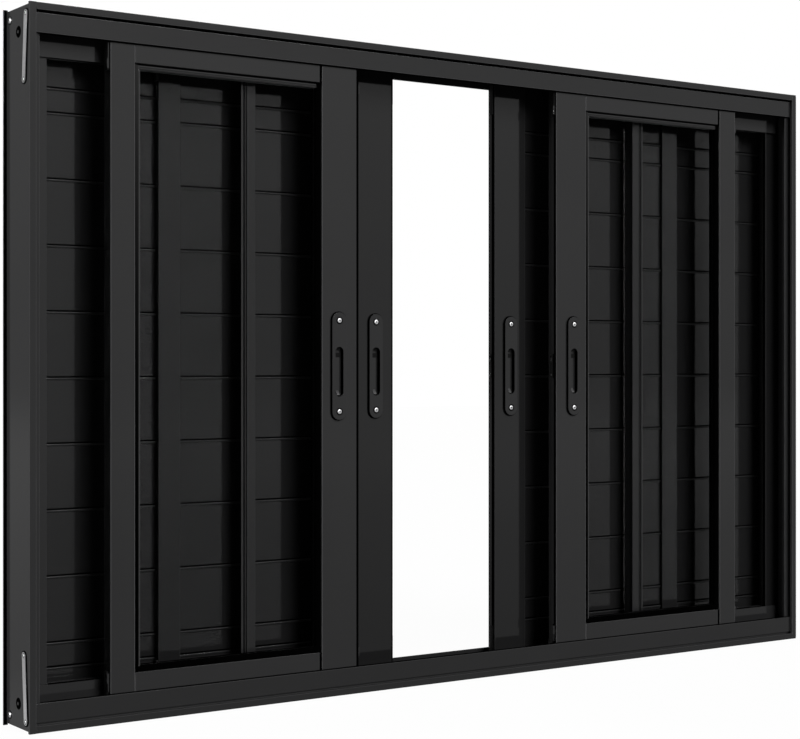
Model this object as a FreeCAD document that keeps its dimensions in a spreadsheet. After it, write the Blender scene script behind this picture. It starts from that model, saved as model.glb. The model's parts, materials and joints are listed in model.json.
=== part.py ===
import FreeCAD, Part
import math
import os

import Sketcher

# Aluminium louvred sliding window, seen from the room at -Y. Millimetres, +Z up.
# The origin is under the middle of the frame, at the level of the sill's lower face.
# Sections are drawn from the frame's left outer face (x) and its room face (y).

SLAT_COUNT = 8

SIZES = [
    ("frame_width", 1500, "outer width over the jamb webs"),
    ("frame_height", 1000, "outer height"),
    ("frame_depth", 84, "room face to weather face"),
    ("wall", 1.6, "extrusion wall"),
    ("jamb_web", 2, "outer wall of a jamb"),
    ("edge_ease", 0.5, "eased edge of an extrusion"),
    ("strip_width", 10, "outer strip round the room face"),
    ("strip_proud", 4.9, "outer strip in front of the track faces"),
    ("groove_width", 3, "groove between strip and track face"),
    ("groove_depth", 8, "groove floor behind the room face"),
    ("end_inset", 3, "webs and plates end short of the strips"),
    ("head_drop", 40.5, "front leg of the head"),
    ("sill_rise", 40, "front leg of the sill"),
    ("head_rear_drop", 37, "rear leg of the head"),
    ("sill_rear_rise", 32, "rear leg of the sill"),
    ("divider_height", 30, "legs between the tracks"),
    ("run_gap", 1.5, "clearance between a leaf and its track"),
    ("rib_width", 2.4, "rib that carries the sliders"),
    ("rib_rise", 16, "rib top above the sill's lower face"),
    ("slider_lift", 4, "leaf above its rib"),
    ("head_gap", 3, "leaf below the groove web of the head"),
    ("liner_front", 10, "jamb liner behind the room face"),
    ("liner_gap", 3.5, "jamb liner in front of the first divider"),
    ("liner_edge", 19, "jamb liner's inner face from the outer face"),
    ("lip_out", 4.5, "weather lip outside the jamb web"),
    ("lip_thickness", 3, "weather lip"),
    ("glass_thickness", 5, "panes"),
    ("glass_gap", 0.3, "pane to its groove, all round"),
    ("glass_bite", 7, "glazing groove depth"),
    ("sash_lap", 39, "glass sash past the post's inner edge when closed"),
    ("sash_stile", 38.5, "outer stile of a glass sash"),
    ("meeting_stile", 65, "meeting stile of every sliding leaf"),
    ("sash_head_rail", 50, "top rail of a glass sash"),
    ("sash_foot_rail", 47, "bottom rail of a glass sash"),
    ("bead_width", 9, "glazing bead inside the rails and stiles"),
    ("bead_setback", 0.15, "bead behind the sash face, as a share of the sash's depth"),
    ("light_edge", 41, "outer stile's inner edge from the outer face"),
    ("light_setback", 0.2, "outer stile behind the fixed light's face, as a share of its depth"),
    ("light_head_drop", 68.5, "top bar's lower edge below the frame's top"),
    ("light_foot_rise", 59, "bottom bar's upper edge"),
    ("post_width", 15, "inner post of the fixed light"),
    ("post_edge", 373, "post's inner edge from the outer face"),
    ("leaf_lap", 35.5, "louvred leaf past the post's inner edge when closed"),
    ("leaf_depth", 10, "louvred leaf's stiles, front to back"),
    ("leaf_stile", 36, "outer stile of a louvred leaf"),
    ("meeting_depth", 17, "meeting stile of a louvred leaf"),
    ("slat_setback", 5.5, "slats behind the stile's face"),
    ("slat_wall", 1.4, "slat plate"),
    ("slat_gap", 1.8, "joint between slats"),
    ("slat_lip", 3, "rolled lip at a slat's top edge"),
    ("slat_lip_out", 1.2, "lip in front of the slat face"),
    ("slat_overlap", 5, "upstand behind the slat above"),
    ("slat_clearance", 0.5, "upstand behind the plate above"),
    ("short_slat", 33.2, "first and last slat"),
    ("louvre_head_drop", 103.1, "louvre's top rail, lower edge below the frame's top"),
    ("louvre_foot_rise", 76.1, "louvre's bottom rail, upper edge"),
    ("louvre_edge", 30, "fixed louvre's outer stile from the outer face"),
    ("louvre_depth", 13.7, "fixed louvre, front to back"),
    ("left_sash_offset", 124, "left glass sash from the outer face"),
    ("right_sash_offset", 149, "right glass sash from the outer face"),
    ("left_leaf_offset", 224, "left louvred leaf from the outer face"),
    ("right_leaf_offset", 244, "right louvred leaf from the outer face"),
    ("pull_height", 164, "shell pull's plate"),
    ("pull_width", 25, "shell pull's plate"),
    ("pull_thickness", 4, "shell pull's plate"),
    ("pull_recess_height", 76, "finger recess"),
    ("pull_recess_width", 14.5, "finger recess"),
    ("pull_recess_depth", 2.2, "finger recess behind the stile's face"),
    ("pull_recess_drop", 8.7, "middle of the finger recess below the middle of the pull"),
    ("pull_cup_wall", 1.5, "wall of the cup round the recess"),
    ("pull_cutout_gap", 0.3, "cup in the stile's cutout"),
    ("pull_level", 502, "middle of the pulls"),
    ("sash_pull_inset", 36, "middle of a glass sash's pull from the meeting edge"),
    ("leaf_pull_inset", 32, "middle of a louvred leaf's pull from the meeting edge"),
    ("strap_length", 106, "anchor strap"),
    ("strap_width", 17, "anchor strap"),
    ("strap_thickness", 1.5, "anchor strap"),
    ("strap_hole_radius", 2.5, "screw holes of the strap"),
    ("strap_tilt", 4.4, "strap's lean, degrees"),
    ("strap_end_inset", 8.5, "strap's end from the frame's end"),
    ("strap_centre", 15, "strap's middle behind the room face"),
    ("anchor_hole_radius", 7, "anchor holes in the jamb webs"),
    ("anchor_hole_depth", 38.5, "anchor holes behind the room face"),
    ("anchor_hole_inset", 36.5, "anchor holes from the frame's ends"),
    ("screw_head_radius", 5, "screws that join jamb and tracks"),
    ("screw_head_height", 2, "screws that join jamb and tracks"),
    ("screw_back", 17, "corner screws in front of the weather face"),
    ("screw_inset", 16.5, "corner screws from the frame's ends"),
    ("guide_thickness", 3, "slider block on a leaf's edge"),
    ("guide_width", 8, "slider block, front to back"),
    ("guide_foot_top", 72, "lower slider block's top"),
    ("guide_head_drop", 81, "upper slider block's lower end below the frame's top"),
    ("latch_height", 40, "edge latch"),
    ("latch_width", 7, "edge latch, front to back"),
    ("latch_thickness", 2, "edge latch out of the meeting edge"),
]

doc = FreeCAD.newDocument("louvred_window")
dims = doc.addObject("Spreadsheet::Sheet", "dims")
for row, (alias, value, meaning) in enumerate(SIZES, start=1):
    dims.set("A%d" % row, meaning)
    dims.set("B%d" % row, str(value))
    dims.setAlias("B%d" % row, alias)
doc.recompute()


def size(name):
    """One cell of the sheet, as a term for expressions."""
    return "dims." + name


def plus(*terms):
    return "(" + " + ".join(terms) + ")"


def minus(first, *terms):
    return "(" + " - ".join((first,) + terms) + ")"


def half(term):
    return "(" + term + " / 2)"


def twice(term):
    return "(2 * " + term + ")"


def worked_out(term):
    return float(dims.evalExpression(term))


# Planes, from the room face towards the weather face. Four legs and six clearances lie
# between the strip and the weather face; sash and fixed light share what the louvres leave.
GLAZED_DEPTH = half(minus(
    size("frame_depth"), size("strip_proud"), "4 * " + size("wall"), "6 * " + size("run_gap"),
    size("leaf_depth"), size("louvre_depth")))
SASH_FRONT = plus(size("strip_proud"), size("wall"), size("run_gap"))
FIRST_DIVIDER = plus(SASH_FRONT, GLAZED_DEPTH, size("run_gap"))
LIGHT_FRONT = plus(FIRST_DIVIDER, size("wall"), size("run_gap"))
SECOND_DIVIDER = plus(LIGHT_FRONT, GLAZED_DEPTH, size("run_gap"))
LEAF_FRONT = plus(SECOND_DIVIDER, size("wall"), size("run_gap"))
LOUVRE_FRONT = plus(LEAF_FRONT, size("leaf_depth"), size("run_gap"))
REAR_LEG = minus(size("frame_depth"), size("wall"))
STRIP_BACK = plus(size("groove_depth"), size("wall"))
BEAD_SETBACK = size("bead_setback") + " * " + GLAZED_DEPTH
LIGHT_SETBACK = size("light_setback") + " * " + GLAZED_DEPTH

# Levels, from the frame's lower or upper end.
TRACK_FLOOR = plus(size("end_inset"), size("wall"))
TRACK_CEILING = minus(size("frame_height"), TRACK_FLOOR)
GROOVE_END = plus(size("strip_width"), size("groove_width"))
LEAF_FOOT = plus(size("rib_rise"), size("slider_lift"))
LEAF_HEAD = minus(size("frame_height"), GROOVE_END, size("wall"), size("head_gap"))
LOUVRE_FOOT = size("louvre_foot_rise")
LOUVRE_HEAD = minus(size("frame_height"), size("louvre_head_drop"))
FULL_SLAT = "((%s - %s - 2 * %s - %d * %s) / %d)" % (
    LOUVRE_HEAD, LOUVRE_FOOT, size("short_slat"), SLAT_COUNT + 3, size("slat_gap"), SLAT_COUNT)
GLASS_SLOT = plus(size("glass_thickness"), twice(size("glass_gap")))
RECESS_LEVEL = minus(size("pull_level"), size("pull_recess_drop"))

# Each pair of leaves fills the opening between the posts when it is closed.
SASH_WIDTH = plus(minus(half(size("frame_width")), size("post_edge")), size("sash_lap"))
LEAF_WIDTH = plus(minus(half(size("frame_width")), size("post_edge")), size("leaf_lap"))

parts = []


def across(side, distance):
    """Distance in from one side's outer face, as an x from the frame's left outer face."""
    if side == "left":
        return distance
    return minus(size("frame_width"), distance)


def bind(thing, **terms):
    """Ties properties to expressions; double underscores stand for dots."""
    for key, term in terms.items():
        thing.setExpression(key.replace("__", "."), term)


def stand(body, x="0", z="0"):
    """Puts a body drawn from the frame's left room corner into the frame's own axes."""
    bind(body,
         Placement__Base__x=minus(x, half(size("frame_width"))),
         Placement__Base__y="-" + half(size("frame_depth")),
         Placement__Base__z=z)


def new_body(name):
    body = doc.addObject("PartDesign::Body", name)
    body.Label = name
    parts.append(body)
    return body


def sketch_on(body, plane, lift="0"):
    """Sketch on one of the body's own origin planes, lifted along the plane's normal."""
    origin_plane = [item for item in body.Origin.OriginFeatures if item.Role == plane][0]
    sketch = body.newObject("Sketcher::SketchObject", body.Name + "_sketch")
    sketch.AttachmentSupport = [(origin_plane, "")]
    sketch.MapMode = "FlatFace"
    bind(sketch, AttachmentOffset__Base__z=lift)
    return sketch


def eased(corners):
    """Cuts every outside corner of a square-cornered outline back by the eased edge."""
    points = [(worked_out(x), worked_out(y)) for x, y in corners]
    turns = []
    for index, here in enumerate(points):
        before = points[index - 1]
        after = points[(index + 1) % len(points)]
        turns.append((here[0] - before[0]) * (after[1] - here[1])
                     - (here[1] - before[1]) * (after[0] - here[0]))
    way_round = sum(math.copysign(1, turn) for turn in turns)
    result = []
    for index, (x, y) in enumerate(corners):
        if turns[index] * way_round < 0:
            result.append((x, y))
            continue
        here = points[index]
        for neighbour in (points[index - 1], points[(index + 1) % len(points)]):
            along = []
            for axis, term in enumerate((x, y)):
                step = neighbour[axis] - here[axis]
                if abs(step) < 1e-9:
                    along.append(term)
                elif step > 0:
                    along.append(plus(term, size("edge_ease")))
                else:
                    along.append(minus(term, size("edge_ease")))
            result.append(tuple(along))
    return result


def outline(sketch, corners):
    """Closed outline with both coordinates of every corner tied to the sheet."""
    points = [FreeCAD.Vector(worked_out(x), worked_out(y), 0) for x, y in corners]
    first = sketch.GeometryCount
    count = len(points)
    for index in range(count):
        sketch.addGeometry(Part.LineSegment(points[index], points[(index + 1) % count]))
    for index in range(count):
        following = first + (index + 1) % count
        sketch.addConstraint(Sketcher.Constraint("Coincident", first + index, 2, following, 1))
    for index, terms in enumerate(corners):
        for kind, term, value in zip(("DistanceX", "DistanceY"), terms, points[index]):
            number = sketch.addConstraint(
                Sketcher.Constraint(kind, -1, 1, first + index, 1, value))
            sketch.setExpression("Constraints[%d]" % number, term)


def box_corners(x0, x1, y0, y1):
    return [(x0, y0), (x1, y0), (x1, y1), (x0, y1)]


def pad(body, sketch, length, reverse=False):
    feature = body.newObject("PartDesign::Pad", body.Name + "_pad")
    feature.Profile = sketch
    feature.Reversed = reverse
    bind(feature, Length=length)
    sketch.Visibility = False
    return feature


def pocket(body, sketch, length, reverse=False):
    feature = body.newObject("PartDesign::Pocket", body.Name + "_pocket")
    feature.Profile = sketch
    feature.Reversed = reverse
    bind(feature, Length=length)
    sketch.Visibility = False
    return feature


def slot_outline(sketch, x, y, width, height):
    """Upright slot with round ends about (x, y)."""
    reach = minus(half(height), half(width))
    radius = worked_out(half(width))
    middle = FreeCAD.Vector(worked_out(x), worked_out(y), 0)
    up = FreeCAD.Vector(0, worked_out(reach), 0)
    aside = FreeCAD.Vector(radius, 0, 0)
    normal = FreeCAD.Vector(0, 0, 1)
    top = Part.ArcOfCircle(Part.Circle(middle + up, normal, radius), 0, math.pi)
    foot = Part.ArcOfCircle(Part.Circle(middle - up, normal, radius), math.pi, 2 * math.pi)
    first = sketch.GeometryCount
    sketch.addGeometry(top)
    sketch.addGeometry(Part.LineSegment(middle + up - aside, middle - up - aside))
    sketch.addGeometry(foot)
    sketch.addGeometry(Part.LineSegment(middle - up + aside, middle + up + aside))
    left = first + 1
    lower = first + 2
    right = first + 3
    for pair in ((first, 2, left, 1), (left, 2, lower, 1), (lower, 2, right, 1), (right, 2, first, 1)):
        sketch.addConstraint(Sketcher.Constraint("Tangent", *pair))
    driven = (
        (Sketcher.Constraint("Radius", first, radius), half(width)),
        (Sketcher.Constraint("DistanceX", -1, 1, first, 3, middle.x), x),
        (Sketcher.Constraint("DistanceY", -1, 1, first, 3, middle.y + up.y), plus(y, reach)),
        (Sketcher.Constraint("DistanceX", -1, 1, lower, 3, middle.x), x),
        (Sketcher.Constraint("DistanceY", -1, 1, lower, 3, middle.y - up.y), minus(y, reach)),
    )
    for constraint, term in driven:
        number = sketch.addConstraint(constraint)
        sketch.setExpression("Constraints[%d]" % number, term)


def round_outline(sketch, x, y, radius):
    middle = FreeCAD.Vector(worked_out(x), worked_out(y), 0)
    circle = Part.Circle(middle, FreeCAD.Vector(0, 0, 1), worked_out(radius))
    number = sketch.addGeometry(circle)
    driven = (
        (Sketcher.Constraint("Radius", number, circle.Radius), radius),
        (Sketcher.Constraint("DistanceX", -1, 1, number, 3, middle.x), x),
        (Sketcher.Constraint("DistanceY", -1, 1, number, 3, middle.y), y),
    )
    for constraint, term in driven:
        index = sketch.addConstraint(constraint)
        sketch.setExpression("Constraints[%d]" % index, term)


def upright(name, corners, foot, head, hollow=None):
    """Extruded bar that stands between two levels; hollow is its inner outline."""
    body = new_body(name)
    sketch = sketch_on(body, "XY_Plane", foot)
    outline(sketch, eased(corners))
    if hollow:
        outline(sketch, hollow)
    pad(body, sketch, minus(head, foot))
    stand(body)
    return body


def tube_corners(x0, x1, y0, y1):
    """Inner outline of a box section with the common wall; x0 may be the larger."""
    step = size("wall")
    low, high = (x0, x1) if worked_out(x0) < worked_out(x1) else (x1, x0)
    return box_corners(plus(low, step), minus(high, step), plus(y0, step), minus(y1, step))


def track(name, level, front_leg, rear_leg, ribs):
    """Head or sill: outer strip, groove, track face, dividers and rear leg on one plate."""
    plate = size("end_inset")
    inner = TRACK_FLOOR
    web_inner = plus(GROOVE_END, size("wall"))
    section = [
        (size("strip_proud"), front_leg),
        (size("strip_proud"), GROOVE_END),
        (size("groove_depth"), GROOVE_END),
        (size("groove_depth"), size("strip_width")),
        ("0", size("strip_width")),
        ("0", "0"),
        (STRIP_BACK, "0"),
        (STRIP_BACK, plate),
        (size("frame_depth"), plate),
        (size("frame_depth"), rear_leg),
        (REAR_LEG, rear_leg),
        (REAR_LEG, inner),
    ]
    standing = [(SECOND_DIVIDER, plus(SECOND_DIVIDER, size("wall")), size("divider_height")),
                (FIRST_DIVIDER, plus(FIRST_DIVIDER, size("wall")), size("divider_height"))]
    for middle in ribs:
        standing.append((minus(middle, half(size("rib_width"))),
                         plus(middle, half(size("rib_width"))), size("rib_rise")))
    standing.sort(key=lambda leg: worked_out(leg[0]), reverse=True)
    for near, far, height in standing:
        section += [(far, inner), (far, height), (near, height), (near, inner)]
    section += [
        (STRIP_BACK, inner),
        (STRIP_BACK, web_inner),
        (plus(size("strip_proud"), size("wall")), web_inner),
        (plus(size("strip_proud"), size("wall")), front_leg),
    ]
    section = [(depth, level(rise)) for depth, rise in section]
    body = new_body(name)
    sketch = sketch_on(body, "YZ_Plane")
    outline(sketch, eased(section))
    pad(body, sketch, minus(size("frame_width"), twice(size("jamb_web"))))
    notch = sketch_on(body, "XY_Plane")
    end = minus(size("strip_width"), size("jamb_web"))
    length = minus(size("frame_width"), twice(size("jamb_web")))
    outline(notch, box_corners("0", end, "0", size("strip_proud")))
    outline(notch, box_corners(minus(length, end), length, "0", size("strip_proud")))
    pocket(body, notch, size("frame_height"), reverse=True)
    stand(body, x=size("jamb_web"))
    return body


def jamb(side):
    """Web with the outer strip, the weather lip, the hollow liner and the anchor holes."""
    body = new_body(side + "_jamb")
    height = size("frame_height")
    web = sketch_on(body, "XY_Plane", size("end_inset"))
    outline(web, box_corners(across(side, "0"), across(side, size("jamb_web")),
                             "0", size("frame_depth")))
    pad(body, web, minus(height, twice(size("end_inset"))))
    strip = sketch_on(body, "XY_Plane")
    outline(strip, eased(box_corners(across(side, "0"), across(side, size("strip_width")),
                                     "0", size("strip_proud"))))
    pad(body, strip, height)
    lip = sketch_on(body, "XY_Plane")
    outline(lip, eased(box_corners(across(side, "-" + size("lip_out")),
                                   across(side, size("jamb_web")),
                                   minus(size("frame_depth"), size("lip_thickness")),
                                   size("frame_depth"))))
    pad(body, lip, height)
    liner = sketch_on(body, "XY_Plane", size("sill_rise"))
    near = across(side, size("jamb_web"))
    far = across(side, size("liner_edge"))
    back = minus(FIRST_DIVIDER, size("liner_gap"))
    outline(liner, eased(box_corners(near, far, size("liner_front"), back)))
    outline(liner, tube_corners(near, far, size("liner_front"), back))
    pad(body, liner, minus(height, size("head_drop"), size("sill_rise")))
    holes = sketch_on(body, "YZ_Plane", across(side, "0"))
    for level in (size("anchor_hole_inset"), minus(height, size("anchor_hole_inset"))):
        round_outline(holes, size("anchor_hole_depth"), level, size("anchor_hole_radius"))
    pocket(body, holes, size("jamb_web"), reverse=(side == "left"))
    stand(body)


def stile_with_bead(name, side, outer, inner, bead_edge, slot_floor, rails):
    """Hollow sash stile with a glazing bead along its inner edge between the rails' beads."""
    near = across(side, outer)
    far = across(side, inner)
    back = plus(SASH_FRONT, GLAZED_DEPTH)
    body = upright(name, box_corners(near, far, SASH_FRONT, back), LEAF_FOOT, LEAF_HEAD,
                   tube_corners(near, far, SASH_FRONT, back))
    low, high = rails
    step = sketch_on(body, "XY_Plane", low)
    middle = plus(SASH_FRONT, half(GLAZED_DEPTH))
    slot_front = minus(middle, half(GLASS_SLOT))
    slot_back = plus(middle, half(GLASS_SLOT))
    floor = across(side, slot_floor)
    lip = across(side, bead_edge)
    outline(step, [
        (far, plus(SASH_FRONT, BEAD_SETBACK)),
        (lip, plus(SASH_FRONT, BEAD_SETBACK)),
        (lip, slot_front),
        (floor, slot_front),
        (floor, slot_back),
        (lip, slot_back),
        (lip, minus(back, BEAD_SETBACK)),
        (far, minus(back, BEAD_SETBACK)),
    ])
    pad(body, step, minus(high, low))
    return body


def lengthwise(name, sections, start, end):
    """Extruded bars along the window, one solid for each section."""
    body = new_body(name)
    body.AllowCompound = True
    for corners in sections:
        sketch = sketch_on(body, "YZ_Plane")
        outline(sketch, corners)
        pad(body, sketch, minus(end, start))
    stand(body, x=start)
    return body


def span(side, outer, inner):
    """Start and end along x of what lies between two distances from a side's outer face."""
    if side == "left":
        return outer, inner
    return across(side, inner), across(side, outer)


def sash_rail(outer, inner, bead_edge, floor):
    """Section of a glass sash's rail, from its outer edge to the bead and its glass slot."""
    back = plus(SASH_FRONT, GLAZED_DEPTH)
    middle = plus(SASH_FRONT, half(GLAZED_DEPTH))
    return [
        (SASH_FRONT, outer),
        (SASH_FRONT, inner),
        (plus(SASH_FRONT, BEAD_SETBACK), inner),
        (plus(SASH_FRONT, BEAD_SETBACK), bead_edge),
        (minus(middle, half(GLASS_SLOT)), bead_edge),
        (minus(middle, half(GLASS_SLOT)), floor),
        (plus(middle, half(GLASS_SLOT)), floor),
        (plus(middle, half(GLASS_SLOT)), bead_edge),
        (minus(back, BEAD_SETBACK), bead_edge),
        (minus(back, BEAD_SETBACK), inner),
        (back, inner),
        (back, outer),
    ]


def pane(name, side, outer, inner, middle, foot, head):
    """Glass between two distances from a side, about a plane."""
    start, end = span(side, outer, inner)
    sheet = doc.addObject("Part::Box", name)
    sheet.Label = name
    bind(sheet, Length=minus(end, start), Width=size("glass_thickness"),
         Height=minus(head, foot),
         Placement__Base__x=minus(start, half(size("frame_width"))),
         Placement__Base__y=minus(middle, half(size("glass_thickness")),
                                  half(size("frame_depth"))),
         Placement__Base__z=foot)
    parts.append(sheet)


def cutout(stile, x, face):
    """Opening in a stile's face for the cup of its pull."""
    sketch = sketch_on(stile, "XZ_Plane", "-" + face)
    grown = plus(size("pull_cup_wall"), size("pull_cutout_gap"))
    slot_outline(sketch, x, RECESS_LEVEL, plus(size("pull_recess_width"), twice(grown)),
                 plus(size("pull_recess_height"), twice(grown)))
    pocket(stile, sketch, size("wall"))


def pull(name, x, face):
    """Shell pull: round-ended plate on the stile with a cup let into it."""
    body = new_body(name)
    back = "-" + face
    front = plus(back, size("pull_thickness"))
    plate = sketch_on(body, "XZ_Plane", back)
    slot_outline(plate, x, size("pull_level"), size("pull_width"), size("pull_height"))
    pad(body, plate, size("pull_thickness"))
    cup = sketch_on(body, "XZ_Plane", back)
    slot_outline(cup, x, RECESS_LEVEL,
                 plus(size("pull_recess_width"), twice(size("pull_cup_wall"))),
                 plus(size("pull_recess_height"), twice(size("pull_cup_wall"))))
    pad(body, cup, plus(size("pull_recess_depth"), size("pull_cup_wall")), reverse=True)
    recess = sketch_on(body, "XZ_Plane", front)
    slot_outline(recess, x, RECESS_LEVEL, size("pull_recess_width"),
                 size("pull_recess_height"))
    pocket(body, recess, plus(size("pull_thickness"), size("pull_recess_depth")))
    stand(body)


def glass_sash(side):
    """Sliding sash in the room-side track."""
    outer = size(side + "_sash_offset")
    edge = plus(outer, SASH_WIDTH)
    inner = plus(outer, size("sash_stile"))
    meeting = minus(edge, size("meeting_stile"))
    foot_rail = plus(LEAF_FOOT, size("sash_foot_rail"))
    head_rail = minus(LEAF_HEAD, size("sash_head_rail"))
    beads = (plus(foot_rail, size("bead_width")), minus(head_rail, size("bead_width")))
    floor_step = minus(size("bead_width"), size("glass_bite"))
    stile_with_bead(side + "_sash_outer_stile", side, outer, inner,
                    plus(inner, size("bead_width")), plus(inner, floor_step), beads)
    stile = stile_with_bead(side + "_sash_meeting_stile", side, edge, meeting,
                            minus(meeting, size("bead_width")), minus(meeting, floor_step),
                            beads)
    pull_middle = across(side, minus(edge, size("sash_pull_inset")))
    cutout(stile, pull_middle, SASH_FRONT)
    lengthwise(side + "_sash_rails",
               [sash_rail(LEAF_FOOT, foot_rail, beads[0], plus(foot_rail, floor_step)),
                sash_rail(LEAF_HEAD, head_rail, beads[1], minus(head_rail, floor_step))],
               *span(side, inner, meeting))
    hold = plus(floor_step, size("glass_gap"))
    pane(side + "_sash_glass", side, plus(inner, hold), minus(meeting, hold),
         plus(SASH_FRONT, half(GLAZED_DEPTH)),
         plus(foot_rail, hold), minus(head_rail, hold))
    pull(side + "_sash_pull", pull_middle, SASH_FRONT)


def fixed_light(side):
    """Fixed glazed light in the middle track: outer stile, slim post and two bars."""
    front = LIGHT_FRONT
    back = plus(LIGHT_FRONT, GLAZED_DEPTH)
    middle = half(plus(front, back))
    foot = size("light_foot_rise")
    head = minus(size("frame_height"), size("light_head_drop"))
    slot_front = minus(middle, half(GLASS_SLOT))
    slot_back = plus(middle, half(GLASS_SLOT))
    post_outer = minus(size("post_edge"), size("post_width"))

    def grooved(near, lip, floor, face):
        """Bar from near to lip, with the glass slot cut back from lip to floor."""
        return [(near, face), (lip, face), (lip, slot_front), (floor, slot_front),
                (floor, slot_back), (lip, slot_back), (lip, back), (near, back)]

    edge = size("light_edge")
    upright(side + "_light_stile",
            [(across(side, x), y) for x, y in
             grooved(size("jamb_web"), edge, minus(edge, size("glass_bite")),
                     plus(front, LIGHT_SETBACK))],
            foot, head)
    upright(side + "_light_post",
            [(across(side, x), y) for x, y in
             grooved(size("post_edge"), post_outer, plus(post_outer, size("glass_bite")), front)],
            TRACK_FLOOR, TRACK_CEILING)

    def bar(near, lip, floor):
        return [(y, z) for z, y in grooved(near, lip, floor, front)]

    lengthwise(side + "_light_bars",
               [bar(TRACK_FLOOR, foot, minus(foot, size("glass_bite"))),
                bar(TRACK_CEILING, head, plus(head, size("glass_bite")))],
               *span(side, size("liner_edge"), post_outer))
    bite = minus(size("glass_bite"), size("glass_gap"))
    pane(side + "_light_glass", side, minus(edge, bite), plus(post_outer, bite), middle,
         minus(foot, bite), plus(head, bite))


def slat_section(face, foot, height, depth=None):
    """Plate with a rolled lip and, behind the joint above, an upstand.

    A rail's section also has a thick foot, as deep as depth.
    """
    plate_back = plus(face, size("slat_wall"))
    stand_front = plus(plate_back, size("slat_clearance"))
    stand_back = plus(stand_front, size("slat_wall"))
    lip_front = minus(face, size("slat_lip_out"))
    top = plus(foot, height)
    lip_foot = minus(top, size("slat_lip"))
    shelf = minus(top, size("slat_wall"))
    section = [
        (face, foot),
        (face, lip_foot),
        (lip_front, plus(lip_foot, size("slat_lip_out"))),
        (lip_front, top),
        (stand_front, top),
        (stand_front, plus(top, size("slat_gap"), size("slat_overlap"))),
        (stand_back, plus(top, size("slat_gap"), size("slat_overlap"))),
        (stand_back, shelf),
    ]
    if depth:
        return section + [(plus(face, depth), shelf), (plus(face, depth), foot)]
    return section + [(plate_back, shelf), (plate_back, foot)]


def louvre_sections(face):
    """Slats from the bottom rail up to the top rail."""
    sections = []
    foot = plus(LOUVRE_FOOT, size("slat_gap"))
    heights = [size("short_slat")] + [FULL_SLAT] * SLAT_COUNT + [size("short_slat")]
    for height in heights:
        sections.append(slat_section(face, foot, height))
        foot = plus(foot, height, size("slat_gap"))
    return sections


def louvre_rails(face, depth, foot, head):
    """Bottom rail with a slat's top edge, and top rail that is thin over the last upstand."""
    lower = slat_section(face, foot, minus(LOUVRE_FOOT, foot), depth)
    clear = plus(LOUVRE_HEAD, size("slat_overlap"), size("run_gap"))
    upper = [
        (face, LOUVRE_HEAD),
        (face, head),
        (plus(face, depth), head),
        (plus(face, depth), clear),
        (plus(face, size("slat_wall")), clear),
        (plus(face, size("slat_wall")), LOUVRE_HEAD),
    ]
    return [lower, upper]


def louvred_leaf(side):
    """Sliding louvred leaf in the weather-side track."""
    outer = size(side + "_leaf_offset")
    edge = plus(outer, LEAF_WIDTH)
    inner = plus(outer, size("leaf_stile"))
    meeting = minus(edge, size("meeting_stile"))
    face = plus(LEAF_FRONT, size("slat_setback"))
    back = plus(LEAF_FRONT, size("leaf_depth"))
    deep = plus(LEAF_FRONT, size("meeting_depth"))
    near = across(side, outer)
    far = across(side, inner)
    upright(side + "_leaf_outer_stile", box_corners(near, far, LEAF_FRONT, back),
            LEAF_FOOT, LEAF_HEAD, tube_corners(near, far, LEAF_FRONT, back))
    near = across(side, meeting)
    far = across(side, edge)
    stile = upright(side + "_leaf_meeting_stile", box_corners(near, far, LEAF_FRONT, deep),
                    LEAF_FOOT, LEAF_HEAD, tube_corners(near, far, LEAF_FRONT, deep))
    pull_middle = across(side, minus(edge, size("leaf_pull_inset")))
    cutout(stile, pull_middle, LEAF_FRONT)
    limits = span(side, inner, meeting)
    depth = minus(size("leaf_depth"), size("slat_setback"))
    lengthwise(side + "_leaf_rails", louvre_rails(face, depth, LEAF_FOOT, LEAF_HEAD), *limits)
    lengthwise(side + "_leaf_slats", louvre_sections(face), *limits)
    pull(side + "_leaf_pull", pull_middle, LEAF_FRONT)


def fixed_louvre(side):
    """Fixed louvre behind the fixed light, against the rear leg of the frame."""
    face = LOUVRE_FRONT
    depth = minus(REAR_LEG, LOUVRE_FRONT)
    outer = size("louvre_edge")
    inner = minus(size("post_edge"), size("post_width"))
    body = new_body(side + "_louvre_stiles")
    body.AllowCompound = True
    for first, second in ((size("jamb_web"), outer), (inner, size("post_edge"))):
        sketch = sketch_on(body, "XY_Plane", TRACK_FLOOR)
        corners = box_corners(across(side, first), across(side, second), face, REAR_LEG)
        outline(sketch, corners)
        outline(sketch, tube_corners(across(side, first), across(side, second), face, REAR_LEG))
        pad(body, sketch, minus(TRACK_CEILING, TRACK_FLOOR))
    stand(body)
    limits = span(side, outer, inner)
    lengthwise(side + "_louvre_rails", louvre_rails(face, depth, TRACK_FLOOR, TRACK_CEILING),
               *limits)
    lengthwise(side + "_louvre_slats", louvre_sections(face), *limits)


def block(name, x0, x1, y, width, foot, head):
    """Small block that is one of a group."""
    low, high = (x0, x1) if worked_out(x0) < worked_out(x1) else (x1, x0)
    item = doc.addObject("Part::Box", name)
    bind(item, Length=minus(high, low), Width=width, Height=minus(head, foot),
         Placement__Base__x=minus(low, half(size("frame_width"))),
         Placement__Base__y=minus(y, half(width), half(size("frame_depth"))),
         Placement__Base__z=foot)
    return item


def group(name, members):
    together = doc.addObject("Part::Compound", name)
    together.Label = name
    together.Links = members
    parts.append(together)


def leaf_edges(kind, width):
    """Outer and meeting edge of each sliding leaf of a kind, with the way out of each edge."""
    edges = []
    for side in ("left", "right"):
        outer = size("%s_%s_offset" % (side, kind))
        edges.append((side, outer, minus(outer, size("guide_thickness"))))
        edge = plus(outer, width)
        edges.append((side, edge, plus(edge, size("guide_thickness"))))
    return edges


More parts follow.
